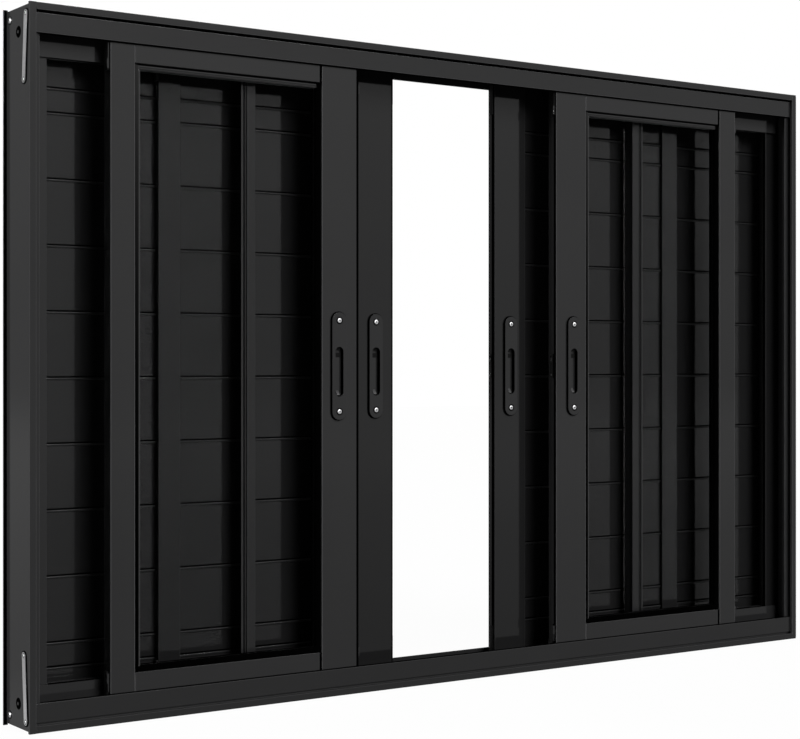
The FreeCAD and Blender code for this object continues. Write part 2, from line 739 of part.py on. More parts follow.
def sliders(kind, width, middle):
    """Slider blocks at the four corners of both leaves of a kind."""
    members = []
    upper = minus(size("frame_height"), size("guide_head_drop"))
    for side, face, out in leaf_edges(kind, width):
        for foot, head in ((size("rib_rise"), size("guide_foot_top")), (upper, LEAF_HEAD)):
            members.append(block("%s_block_%d" % (kind, len(members) + 1), across(side, face),
                                 across(side, out), middle, size("guide_width"), foot, head))
    group(kind + "_sliders", members)


def latches():
    """Edge latches halfway up the meeting edges."""
    members = []
    foot = minus(size("pull_level"), half(size("latch_height")))
    head = plus(size("pull_level"), half(size("latch_height")))
    leaves = (("sash", SASH_WIDTH, plus(SASH_FRONT, half(GLAZED_DEPTH))),
              ("leaf", LEAF_WIDTH, plus(LEAF_FRONT, half(size("meeting_depth")))))
    for kind, width, middle in leaves:
        for side in ("left", "right"):
            edge = plus(size("%s_%s_offset" % (side, kind)), width)
            members.append(block("%s_%s_latch" % (side, kind), across(side, edge),
                                 across(side, plus(edge, size("latch_thickness"))),
                                 middle, size("latch_width"), foot, head))
    group("edge_latches", members)


def straps(side):
    """Two anchor straps that lie on the jamb's outer face, each with two screw holes."""
    members = []
    spread = minus(half(size("frame_height")), size("strap_end_inset"), half(size("strap_length")))
    for order, sign in enumerate((1, -1)):
        body = doc.addObject("PartDesign::Body", "%s_strap_%d" % (side, order + 1))
        flat = sketch_on(body, "YZ_Plane")
        slot_outline(flat, "0", "0", size("strap_width"), size("strap_length"))
        reach = minus(half(size("strap_length")), half(size("strap_width")))
        for level in (reach, "-" + reach):
            round_outline(flat, "0", level, size("strap_hole_radius"))
        pad(body, flat, size("strap_thickness"), reverse=(side == "left"))
        body.Placement = FreeCAD.Placement(
            FreeCAD.Vector(), FreeCAD.Rotation(FreeCAD.Vector(1, 0, 0), 1))
        bind(body,
             Placement__Base__x=minus(across(side, "0"), half(size("frame_width"))),
             Placement__Base__y=minus(size("strap_centre"), half(size("frame_depth"))),
             Placement__Base__z=plus(half(size("frame_height")), "%d * %s" % (sign, spread)),
             Placement__Rotation__Angle="%d * %s" % (sign, size("strap_tilt")))
        members.append(body)
    group(side + "_anchor_straps", members)


def corner_screws():
    """Heads of the screws that hold head and sill between the jambs."""
    members = []
    for side in ("left", "right"):
        for level in (size("screw_inset"), minus(size("frame_height"), size("screw_inset"))):
            head = doc.addObject("Part::Cylinder", "corner_screw_%d" % (len(members) + 1))
            turn = -90 if side == "left" else 90
            head.Placement = FreeCAD.Placement(
                FreeCAD.Vector(), FreeCAD.Rotation(FreeCAD.Vector(0, 1, 0), turn))
            bind(head, Radius=size("screw_head_radius"), Height=size("screw_head_height"),
                 Placement__Base__x=minus(across(side, "0"), half(size("frame_width"))),
                 Placement__Base__y=minus(half(size("frame_depth")), size("screw_back")),
                 Placement__Base__z=level)
            members.append(head)
    group("corner_screws", members)


def check_document():
    """Stops on any object that failed or any part without a sound shape."""
    for item in doc.Objects:
        bad = [word for word in item.State if word in ("Invalid", "Error")]
        if bad:
            raise RuntimeError("%s is %s" % (item.Label, ", ".join(bad)))
    for item in parts:
        if item.Shape.isNull() or not item.Shape.isValid():
            raise RuntimeError("%s has no sound shape" % item.Label)


track("head_track", lambda rise: minus(size("frame_height"), rise), size("head_drop"),
      size("head_rear_drop"), [])
track("sill_track", lambda rise: rise, size("sill_rise"), size("sill_rear_rise"),
      [plus(SASH_FRONT, half(GLAZED_DEPTH)), plus(LEAF_FRONT, half(size("leaf_depth")))])
for side in ("left", "right"):
    jamb(side)
    fixed_light(side)
    fixed_louvre(side)
    glass_sash(side)
    louvred_leaf(side)
    straps(side)
sliders("sash", SASH_WIDTH, plus(SASH_FRONT, half(GLAZED_DEPTH)))
sliders("leaf", LEAF_WIDTH, plus(LEAF_FRONT, half(size("leaf_depth"))))
latches()
corner_screws()

doc.recompute()
check_document()

os.makedirs("parts", exist_ok=True)
for item in parts:
    item.Shape.exportStep("parts/%s.step" % item.Label)
    box = item.Shape.BoundBox
    print("%-26s %2d solids %10.0f mm3  x %.1f..%.1f  y %.1f..%.1f  z %.1f..%.1f" % (
        item.Label, len(item.Shape.Solids), item.Shape.Volume,
        box.XMin, box.XMax, box.YMin, box.YMax, box.ZMin, box.ZMax))
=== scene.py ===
import json
import math

import bmesh
import bpy
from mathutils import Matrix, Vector


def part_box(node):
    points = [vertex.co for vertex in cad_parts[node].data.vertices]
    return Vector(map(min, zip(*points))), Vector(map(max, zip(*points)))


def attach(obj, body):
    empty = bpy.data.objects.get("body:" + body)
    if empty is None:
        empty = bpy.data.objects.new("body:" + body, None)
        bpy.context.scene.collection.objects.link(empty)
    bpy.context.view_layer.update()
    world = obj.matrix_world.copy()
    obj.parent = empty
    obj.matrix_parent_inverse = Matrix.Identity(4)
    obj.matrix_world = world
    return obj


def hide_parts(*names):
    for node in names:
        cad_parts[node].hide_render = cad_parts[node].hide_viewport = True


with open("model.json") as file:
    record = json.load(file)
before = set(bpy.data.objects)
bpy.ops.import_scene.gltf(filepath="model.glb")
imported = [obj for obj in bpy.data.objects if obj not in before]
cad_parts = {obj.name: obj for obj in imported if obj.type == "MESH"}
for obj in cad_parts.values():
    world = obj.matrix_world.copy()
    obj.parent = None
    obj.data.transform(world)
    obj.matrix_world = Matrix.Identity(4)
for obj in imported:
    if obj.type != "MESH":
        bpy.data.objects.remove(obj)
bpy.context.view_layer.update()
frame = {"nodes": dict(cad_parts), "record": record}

# Metres, in the window's own frame: room side at -Y, weather side at +Y, +Z up.
SIDES = ("left", "right")
OUTWARD = {"left": -1, "right": 1}
BODY = "root"

# Sizes that the detail pieces share with the solids.
GLASS_HOLD = 0.0067
GLASS_GROWN = 0.0023
BEAD_SETBACK = 0.003
SASH_DEPTH = 0.020
LOUVRE_FOOT = 0.0761
LOUVRE_HEAD = 0.8969
SHORT_SLAT = 0.0332
SLAT_GAP = 0.0018
SLAT_LIP = 0.003
SLAT_LIP_OUT = 0.0012
FULL_SLATS = 8
PULL_LEVEL = 0.502
PULL_SCREW_REACH = 0.0695
RECESS_DROP = 0.0087
RECESS_HEIGHT = 0.076
RECESS_WIDTH = 0.0145
RECESS_DEPTH = 0.0062
LATCH_FOOT = 0.482
LATCH_HEAD = 0.522
LATCH_WIDTH = 0.007
LATCH_STANDS = 0.0021
SASH_FACE = -0.034
HEAD_LEG = 0.9595
SILL_LEG = 0.040
HEAD_GROOVE = (0.987, 0.990)
SASH_RAILS = ((0.0205, 0.0670), (0.9324, 0.9819))
JAMB_FACE = 0.75
ANCHOR_LEVELS = (0.0365, 0.9635)
ANCHOR_PLACE = -0.0035
CORNER_SCREW_LEVELS = (0.0165, 0.9835)
CORNER_SCREW_PLACE = 0.0265

# Sizes of the detail pieces alone. Clips, ribs, seal and groove strip are given as ranges.
STRAP_LEAN = math.radians(4.4)
STRAP_WIDTH = 0.0108
STRAP_LENGTH = 0.1000
STRAP_PAD_WIDTH = 0.0168
STRAP_PAD_LENGTH = 0.1036
STRAP_PAD_STANDS = 0.0007
STRAP_STANDS = 0.0014
STRAP_SCREW_REACH = 0.0452
STRAP_FOOT_INSET = 0.0518
STRAP_HEAD_INSET = 0.0510
SLIDER_CLIPS = ((0.0440, 0.0553), (0.9350, 0.9585))
SLIDER_STOPS = (0.0626, 0.9278)
SLIDER_STOP_REACH = 0.0070
LATCH_BLOCK_HEIGHT = 0.0135
LATCH_BLOCK_STANDS = 0.0012
LATCH_PLATE_STANDS = 0.0003
POST_RIBS = ((0.0016, 0.0034), (0.0056, 0.0096))
WEATHER_SEAL = (0.0382, 0.0391)
LEG_STRIP_FRONT = -0.0366
GROOVE_STRIP = (-0.0368, -0.0342)
GROOVE_STRIP_INSET = 0.0120
EDGE_ROUNDING = 0.0008

# Screw heads as (radius, height).
PULL_SCREW = (0.0036, 0.0008)
LATCH_SCREW = (0.0020, 0.0006)
STRAP_SCREW = (0.0026, 0.0008)
CORNER_SCREW = (0.0042, 0.0016)

# Camera of the photograph, whose frame is 800 by 739 pixels.
PHOTO_WIDTH = 800
PHOTO_HEIGHT = 739
HORIZON_PIXEL = 364.4
CAMERA_PLACE = (-1.712, -2.3206, 0.5045)
CAMERA_TURN = math.radians(34.657)
LENS = 80.0

# Room: half the floor's width, its tone, its light to the eye and how far that light stands
# in for its shading, and the dim ambient light.
FLOOR_REACH = 15
FLOOR_TONE = 0.22
FLOOR_LIGHT = 1.1
FLOOR_LIGHT_SHARE = 0.88
AMBIENT = 0.03


def link(obj):
    """Adds an object to the scene."""
    bpy.context.scene.collection.objects.link(obj)
    return obj


# Materials.

class Nodes:
    """Short way to build a node tree."""

    def __init__(self, name):
        self.material = bpy.data.materials.new(name)
        self.material.use_nodes = True
        self.tree = self.material.node_tree
        self.tree.nodes.clear()

    def add(self, kind, **settings):
        node = self.tree.nodes.new(kind)
        for key, value in settings.items():
            setattr(node, key, value)
        return node

    def join(self, source, target):
        self.tree.links.new(source, target)

    def place(self, scale=(1, 1, 1)):
        """Coordinates on the object in metres, stretched by scale."""
        coordinates = self.add("ShaderNodeTexCoord")
        mapping = self.add("ShaderNodeMapping")
        mapping.inputs["Scale"].default_value = scale
        self.join(coordinates.outputs["Object"], mapping.inputs["Vector"])
        return mapping.outputs["Vector"]

    def noise(self, scale, detail=2.0, stretch=(1, 1, 1)):
        texture = self.add("ShaderNodeTexNoise")
        texture.inputs["Scale"].default_value = scale
        texture.inputs["Detail"].default_value = detail
        self.join(self.place(stretch), texture.inputs["Vector"])
        return texture.outputs["Fac"]

    def ramp(self, value, low, high, start=0.0, end=1.0):
        """Spreads a 0 to 1 value over a range of plain numbers."""
        spread = self.add("ShaderNodeMapRange")
        spread.inputs["From Min"].default_value = start
        spread.inputs["From Max"].default_value = end
        spread.inputs["To Min"].default_value = low
        spread.inputs["To Max"].default_value = high
        self.join(value, spread.inputs["Value"])
        return spread.outputs["Result"]

    def tint(self, value, first, second):
        """Colour between two, by a value."""
        mix = self.add("ShaderNodeMix", data_type="RGBA")
        mix.inputs[6].default_value = (*first, 1)
        mix.inputs[7].default_value = (*second, 1)
        self.join(value, mix.inputs[0])
        return mix.outputs[2]

    def bump(self, height, distance, after=None):
        node = self.add("ShaderNodeBump")
        node.inputs["Distance"].default_value = distance
        self.join(height, node.inputs["Height"])
        if after is not None:
            self.join(after, node.inputs["Normal"])
        return node.outputs["Normal"]

    def surface(self, **fixed):
        """Principled surface to the output, with fixed values on its own sockets."""
        shader = self.add("ShaderNodeBsdfPrincipled")
        for key, value in fixed.items():
            shader.inputs[key.replace("_", " ")].default_value = value
        output = self.add("ShaderNodeOutputMaterial")
        self.join(shader.outputs[0], output.inputs["Surface"])
        return shader


def powder_coat(name, tone, roughness, gloss):
    """Near-black powder coat: fine orange peel, faint cloudiness in tone and gloss."""
    nodes = Nodes(name)
    shader = nodes.surface(IOR=1.5, Specular_IOR_Level=gloss)
    dark = (0.93 * tone, 0.93 * tone, 0.95 * tone)
    light = (1.07 * tone, 1.07 * tone, 1.09 * tone)
    cloud = nodes.noise(9, 3)
    grain = nodes.noise(900, 2)
    peel = nodes.noise(260, 1)
    nodes.join(nodes.tint(cloud, dark, light), shader.inputs["Base Color"])
    nodes.join(nodes.ramp(grain, roughness * 0.8, roughness * 1.25), shader.inputs["Roughness"])
    fine = nodes.bump(grain, 0.000004)
    nodes.join(nodes.bump(peel, 0.00001, after=fine), shader.inputs["Normal"])
    return nodes.material


def moulded_plastic(name, tone, roughness, gloss=0.1):
    """Plain plastic or rubber with a fine grain."""
    nodes = Nodes(name)
    shader = nodes.surface(IOR=1.48, Specular_IOR_Level=gloss)
    grain = nodes.noise(1200, 3)
    nodes.join(nodes.tint(nodes.noise(40), (tone,) * 3, (1.4 * tone,) * 3),
               shader.inputs["Base Color"])
    nodes.join(nodes.ramp(grain, roughness * 0.8, roughness * 1.2), shader.inputs["Roughness"])
    nodes.join(nodes.bump(grain, 0.00002), shader.inputs["Normal"])
    return nodes.material


def sheen_painted_rubber(name, dark, light):
    """Black rubber that is paler towards the head, as a painted reflection of the brighter
    surroundings above.
    """
    nodes = Nodes(name)
    shader = nodes.surface(Specular_IOR_Level=0.0)
    axes = nodes.add("ShaderNodeSeparateXYZ")
    nodes.join(nodes.place(), axes.inputs[0])
    fading = nodes.add("ShaderNodeMath", operation="POWER")
    fading.inputs[1].default_value = 4.0
    nodes.join(nodes.ramp(axes.outputs["Z"], 0.0, 1.0, 0.0, 0.95), fading.inputs[0])
    nodes.join(nodes.tint(fading.outputs[0], (dark,) * 3, (light,) * 3),
               shader.inputs["Base Color"])
    grain = nodes.noise(1200, 3)
    nodes.join(nodes.ramp(grain, 0.6, 0.8), shader.inputs["Roughness"])
    nodes.join(nodes.bump(grain, 0.00002), shader.inputs["Normal"])
    return nodes.material


def plated_metal(name, dull, bright, roughness):
    """Plated steel with drawn streaks and a slight mottle."""
    nodes = Nodes(name)
    shader = nodes.surface(Metallic=1.0)
    mottle = nodes.noise(220, 4)
    streaks = nodes.noise(900, 2, (1, 1, 0.06))
    nodes.join(nodes.tint(mottle, (dull, dull, 1.01 * dull), (bright, bright, 1.01 * bright)),
               shader.inputs["Base Color"])
    nodes.join(nodes.ramp(streaks, 0.75 * roughness, 1.3 * roughness),
               shader.inputs["Roughness"])
    nodes.join(nodes.bump(streaks, 0.00001), shader.inputs["Normal"])
    return nodes.material


def float_glass(name):
    """Clear pane: it lets light and shadow rays through and keeps a faint surface gloss."""
    nodes = Nodes(name)
    clear = nodes.add("ShaderNodeBsdfTransparent")
    gloss = nodes.add("ShaderNodeBsdfGlossy")
    gloss.inputs["Roughness"].default_value = 0.02
    mix = nodes.add("ShaderNodeMixShader")
    output = nodes.add("ShaderNodeOutputMaterial")
    waviness = nodes.noise(3, 1)
    nodes.join(nodes.tint(waviness, (0.984, 0.985, 0.985), (0.990, 0.991, 0.991)),
               clear.inputs["Color"])
    edge = nodes.add("ShaderNodeLayerWeight")
    nodes.join(nodes.ramp(edge.outputs["Facing"], 0.0, 0.2, 0.6, 1.0), mix.inputs[0])
    nodes.join(clear.outputs[0], mix.inputs[1])
    nodes.join(gloss.outputs[0], mix.inputs[2])
    nodes.join(mix.outputs[0], output.inputs["Surface"])
    return nodes.material


# Coats with their tone, roughness and gloss.
# The tones of these coats differ by part as painted light and shade, darkest on the deeper leaf
# and slats, where less light reaches.
FRAME_COAT = powder_coat("frame_coat", 0.0165, 0.10, 0.23)
JAMB_COAT = powder_coat("jamb_coat", 0.0225, 0.14, 0.13)
SASH_COAT = powder_coat("sash_coat", 0.0185, 0.08, 0.25)
LEAF_COAT = powder_coat("leaf_coat", 0.0110, 0.08, 0.26)
SLAT_COAT = powder_coat("slat_coat", 0.0105, 0.08, 0.26)
# Darker, less glossy copy of the leaf coat for the right light's stile: painted shade.
PAINTED_SHADE_COAT = powder_coat("painted_shade_coat", 0.0085, 0.10, 0.08)
# Lighter coat on the slats' lips: painted highlight.
LIP_PAINTED_HIGHLIGHT_COAT = powder_coat("lip_painted_highlight_coat", 0.0150, 0.30, 0.10)
PULL_COAT = powder_coat("pull_coat", 0.0185, 0.12, 0.24)
# Lighter coats for the rounded edges: painted highlights.
PAINTED_HIGHLIGHT_EDGE = powder_coat("painted_highlight_edge", 0.0750, 0.20, 0.20)
FAINT_PAINTED_HIGHLIGHT_EDGE = powder_coat("faint_painted_highlight_edge", 0.0260, 0.20, 0.15)
# Pale coat: painted light on the pulls' catches, and the own tone of the latch screws.
PALE_SCREW_AND_PAINTED_LIGHT_COAT = powder_coat("pale_screw_and_painted_light_coat", 0.0430, 0.40, 0.20)

# Plastics with the same three, metals with their dull and bright tone and roughness.
NYLON = moulded_plastic("nylon", 0.012, 0.45)
RUBBER = moulded_plastic("rubber", 0.0005, 0.7, 0.0)
# Black rubber with a painted reflection that pales towards the head.
SHEEN_PAINTED_RUBBER = sheen_painted_rubber("sheen_painted_rubber", 0.0005, 0.026)
POCKET_PLASTIC = moulded_plastic("pocket_plastic", 0.0065, 0.6, 0.02)
LATCH_PLASTIC = moulded_plastic("latch_plastic", 0.012, 0.35)
ZINC_STEEL = plated_metal("zinc_steel", 0.72, 0.95, 0.3)
SCREW_STEEL = plated_metal("screw_steel", 0.42, 0.62, 0.48)
PANE = float_glass("pane")

FINISH = {"frame_coat": FRAME_COAT, "leaf_coat": LEAF_COAT, "pull_coat": PULL_COAT,
          "nylon": NYLON, "latch_plastic": LATCH_PLASTIC, "zinc_steel": ZINC_STEEL, "pane": PANE}
FINER_FINISH = {"_jamb": JAMB_COAT, "_sash_": SASH_COAT, "_slats": SLAT_COAT,
                "right_light_stile": PAINTED_SHADE_COAT}


def finish_nodes():
    """Gives every carried-over node the material of its slot, or a finer one by its name."""
    for row in frame["record"]["subparts"]:
        name = row["node"]
        finish = FINISH[row["material_slot"]]
        if finish in (FRAME_COAT, LEAF_COAT):
            for part, finer in FINER_FINISH.items():
                if part in name:
                    finish = finer
        node = frame["nodes"][name]
        node.data.materials.clear()
        node.data.materials.append(finish)


def ease_edges():
    """Rounds the sharp edges of the coated extrusions a little, as drawn aluminium has them, and
    gives most rounds a lighter coat as a painted highlight.
    """
    for row in frame["record"]["subparts"]:
        if not row["material_slot"].endswith("coat"):
            continue
        node = frame["nodes"][row["node"]]
        weld = node.modifiers.new("weld", "WELD")
        weld.merge_threshold = 0.00001
        ease = node.modifiers.new("ease", "BEVEL")
        ease.width = EDGE_ROUNDING
        ease.segments = 2
        ease.limit_method = "ANGLE"
        ease.angle_limit = math.radians(40)
        if "slats" not in row["node"] and "louvre" not in row["node"]:
            bright = any(part in row["node"] for part in ("_sash_", "head_track", "_jamb"))
            # Lighter coat on the rounds: painted highlight.
            ease.material = 1
            node.data.materials.append(PAINTED_HIGHLIGHT_EDGE if bright else FAINT_PAINTED_HIGHLIGHT_EDGE)


# Shapes.

class Shape:
    """Gathers the solids of one piece, in metres in the window's frame."""

    def __init__(self):
        self.mesh = bmesh.new()

    def corners(self, outline, axis, place):
        """Vertices of an outline given in the other two axes, in the order x, y, z."""
        ring = []
        for pair in outline:
            point = list(pair)
            point.insert("xyz".index(axis), place)
            ring.append(self.mesh.verts.new(point))
        return ring

    def wall(self, low, high):
        """Band of faces between two rings of vertices."""
        for step in range(len(low)):
            after = (step + 1) % len(low)
            self.mesh.faces.new((low[step], low[after], high[after], high[step]))

    def skin(self, rings):
        """Walls between rings of vertices, closed at both ends."""
        for low, high in zip(rings, rings[1:]):
            self.wall(low, high)
        self.mesh.faces.new(rings[0])
        self.mesh.faces.new(rings[-1])

    def extrude(self, outline, axis, start, end):
        """Prism on an outline."""
        self.skin([self.corners(outline, axis, place) for place in (start, end)])

    def loft(self, outlines, axis):
        """Solid through (distance along, outline) pairs with equal numbers of corners."""
        self.skin([self.corners(outline, axis, place) for place, outline in outlines])

    def ring(self, outer, inner, axis, start, end):
        """Prism between two outlines with equal numbers of corners."""
        rings = [self.corners(outline, axis, place) for outline, place in (
            (outer, start), (outer, end), (inner, end), (inner, start))]
        for low, high in zip(rings, rings[1:] + rings[:1]):
            self.wall(low, high)

    def turn(self, profile, centre, axis, steps=24):
        """Turned solid about an axis through centre, on (radius, distance along) pairs."""
        rings = []
        for radius, along in profile:
            ring = []
            for step in range(steps):
                angle = 2 * math.pi * step / steps
                point = [radius * math.cos(angle), radius * math.sin(angle)]
                point.insert("xyz".index(axis), along)
                ring.append(self.mesh.verts.new(Vector(point) + Vector(centre)))
            rings.append(ring)
        self.skin(rings)

    def done(self, name, material, slot, *replaced):
        """Makes the piece, smooth except at its corners, and lets it ride on the window."""
        bmesh.ops.recalc_face_normals(self.mesh, faces=self.mesh.faces)
        data = bpy.data.meshes.new(name)
        self.mesh.to_mesh(data)
        self.mesh.free()
        for face in data.polygons:
            face.use_smooth = True
        data.set_sharp_from_angle(angle=math.radians(35))
        data.materials.append(material)
        piece = link(bpy.data.objects.new(name, data))
        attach(piece, BODY)
        if replaced:
            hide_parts(*replaced)


def block(low, high):
    """Corners of a plain rectangle between two points."""
    return [(low[0], low[1]), (high[0], low[1]), (high[0], high[1]), (low[0], high[1])]


def rounded(low, high, radius, steps=4):
    """Rectangle between two points with rounded corners."""
    corners = ((high[0] - radius, high[1] - radius, 0), (low[0] + radius, high[1] - radius, 90),
               (low[0] + radius, low[1] + radius, 180), (high[0] - radius, low[1] + radius, 270))
    outline = []
    for x, y, start in corners:
        for step in range(steps + 1):
            angle = math.radians(start + 90 * step / steps)
            outline.append((x + radius * math.cos(angle), y + radius * math.sin(angle)))
    return outline


def stadium(middle, width, height, lean=0.0, steps=10):
    """Upright slot with round ends, leaning by an angle."""
    radius = width / 2
    outline = []
    for sign in (1, -1):
        for step in range(steps + 1):
            angle = math.pi * step / steps
            outline.append((sign * radius * math.cos(angle),
                            sign * (height / 2 - radius + radius * math.sin(angle))))
    turned = []
    for x, y in outline:
        turned.append((middle[0] + x * math.cos(lean) + y * math.sin(lean),
                       middle[1] + y * math.cos(lean) - x * math.sin(lean)))
    return turned


def span(edge, out, near, far):
    """Range between two distances from an edge, outwards by the sign of out."""
    return sorted((edge + out * near, edge + out * far))


# Detail pieces.

def glass_opening(side):
    """Visible part of a sash's pane as (low x, high x, low z, high z)."""
    low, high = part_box(side + "_sash_glass")
    return (low[0] + GLASS_HOLD, high[0] - GLASS_HOLD, low[2] + GLASS_HOLD, high[2] - GLASS_HOLD)


def sash_gaskets(side):
    """Black glazing gaskets on the beads and their ledges, and ridges on the top bead."""
    left, right, foot, head = glass_opening(side)
    reach = GLASS_HOLD + GLASS_GROWN
    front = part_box(side + "_sash_outer_stile")[0][1]
    shape = Shape()
    pale = Shape()
    ridges = Shape()
    lip = 0.0009
    for face, out in ((front + BEAD_SETBACK, -1), (front + SASH_DEPTH - BEAD_SETBACK, 1)):
        behind = face - 0.0003 * out
        crest = face + 0.0007 * out

        def band(near, far):
            """Section across the band, as (place, depth) pairs with an eased front."""
            ease = 0.0006 if far > near else -0.0006
            return [(near, behind), (near, crest - 0.0004 * out), (near + ease, crest),
                    (far - ease, crest), (far, crest - 0.0004 * out), (far, behind)]

        # The left gaskets carry a painted reflection, paler towards the head.
        pale.extrude(band(left - reach + 0.0002, left - 0.0026), "z", foot - reach + 0.0002,
                     head + reach - 0.0002)
        shape.extrude(band(right + 0.0003, right + reach - 0.0002), "z", foot - reach,
                      head + reach)
        shape.extrude([(y, z) for z, y in band(foot - reach + 0.0002, foot - 0.0003)], "x",
                      left - reach + 0.0003, right + lip)
        shape.extrude([(y, z) for z, y in band(head + reach - 0.0028, head + reach - 0.0002)],
                      "x", left - reach + 0.0003, right + lip)
        for level in (head + 0.0006, head + 0.0030):
            ridges.extrude([(y, z) for z, y in band(level, level + 0.0012)], "x",
                           left - lip, right + lip)
        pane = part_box(side + "_sash_glass")[0 if out < 0 else 1][1] + 0.0001 * out
        near, far = sorted((pane, face - 0.0001 * out))
        shape.extrude(block((right - 0.0004, near), (right + 0.0004, far)), "z", foot, head)
        shape.extrude(block((near, foot - 0.0004), (far, foot + 0.0004)), "x", left, right)
    shape.done(side + "_sash_gaskets", RUBBER, "nylon")
    pale.done(side + "_sash_left_gaskets", SHEEN_PAINTED_RUBBER, "nylon")
    ridges.done(side + "_sash_bead_ridges", SASH_COAT, "leaf_coat")


def light_gaskets():
    """Black gasket along the foot of each fixed pane, on the lower bar."""
    shape = Shape()
    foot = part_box("right_light_stile")[0][2]
    for side in SIDES:
        low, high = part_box(side + "_light_glass")
        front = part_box(side + "_light_bars")[0][1]
        shape.extrude(block((front + 0.0004, foot - 0.0004), (low[1], foot + 0.0008)), "x",
                      low[0] + 0.009, high[0] - 0.009)
    shape.done("light_foot_gaskets", RUBBER, "nylon")


def post_beads():
    """Two ribs on a black strip, painted shade in the groove, on the pane's side of each fixed
    light's inner post.
    """
    ribs = Shape()
    strip = Shape()
    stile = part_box("right_light_stile")
    foot = stile[0][2] + 0.0015
    head = stile[1][2] - 0.0015
    for side, out in OUTWARD.items():
        low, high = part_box(side + "_light_post")
        edge = low[0] if out < 0 else high[0]
        near, far = span(edge, out, -0.0004, 0.0098)
        strip.extrude(block((near, low[1] + 0.0012), (far, low[1] + 0.0030)), "z", foot, head)
        for start, end in POST_RIBS:
            near, far = span(edge, out, start, end)
            ribs.extrude(rounded((near, low[1] + 0.0002), (far, low[1] + 0.0014), 0.0004), "z",
                         foot, head)
    ribs.done("light_post_ribs", SASH_COAT, "leaf_coat")
    strip.done("light_post_strips", RUBBER, "nylon")


def slat_levels():
    """Lower edges of the slats and of the top rail."""
    full = (LOUVRE_HEAD - LOUVRE_FOOT - 2 * SHORT_SLAT - (FULL_SLATS + 3) * SLAT_GAP) / FULL_SLATS
    levels = [LOUVRE_FOOT + SLAT_GAP]
    for height in [SHORT_SLAT] + [full] * FULL_SLATS + [SHORT_SLAT]:
        levels.append(levels[-1] + height + SLAT_GAP)
    return levels


def slat_details(name):
    """Dark strips in the joints, seals whose black also stands as painted shade in the gaps, and
    rounded lips on the slats' top edges in a lighter coat as a painted highlight.
    """
    low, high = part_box(name)
    face = low[1] + SLAT_LIP_OUT
    seals = Shape()
    lips = Shape()
    for level in slat_levels():
        seals.extrude(block((face - 0.0002, level - SLAT_GAP + 0.00015),
                            (face + 0.0015, level + 0.0005)),
                      "x", low[0] + 0.0002, high[0] - 0.0002)
        top = level - SLAT_GAP
        crest = low[1]
        lips.extrude([(crest + 0.0004, top - SLAT_LIP - 0.0001), (crest, top - SLAT_LIP),
                      (crest - 0.0004, top - SLAT_LIP + 0.0006), (crest - 0.0006, top - 0.0015),
                      (crest - 0.0005, top - 0.0007), (crest - 0.0001, top - 0.0001),
                      (crest + 0.0004, top + 0.0001)],
                     "x", low[0] + 0.0002, high[0] - 0.0002)
    seals.done(name + "_joint_seals", RUBBER, "nylon")
    lips.done(name + "_lips", LIP_PAINTED_HIGHLIGHT_COAT, "leaf_coat")


def screw(shape, recess, centre, radius, height, axis="y", out=-1):
    """Low domed head with its cross recess, standing out of a face at centre; the recess is a
    cross block that the callers make black, as painted shade.
    """
    dome = [(radius, 0.0), (radius, 0.35 * height), (0.92 * radius, 0.68 * height),
            (0.72 * radius, 0.92 * height), (0.4 * radius, height), (0.1 * radius, height)]
    shape.turn([(r, out * h) for r, h in dome], centre, axis)
    arm, width = 0.52 * radius, 0.13 * radius
    place = "xyz".index(axis)
    across = [value for step, value in enumerate(centre) if step != place]
    for wide, tall in ((arm, width), (width, arm)):
        recess.extrude(block((across[0] - wide, across[1] - tall),
                             (across[0] + wide, across[1] + tall)),
                       axis, centre[place] + out * 0.7 * height,
                       centre[place] + out * (height + 0.00005))


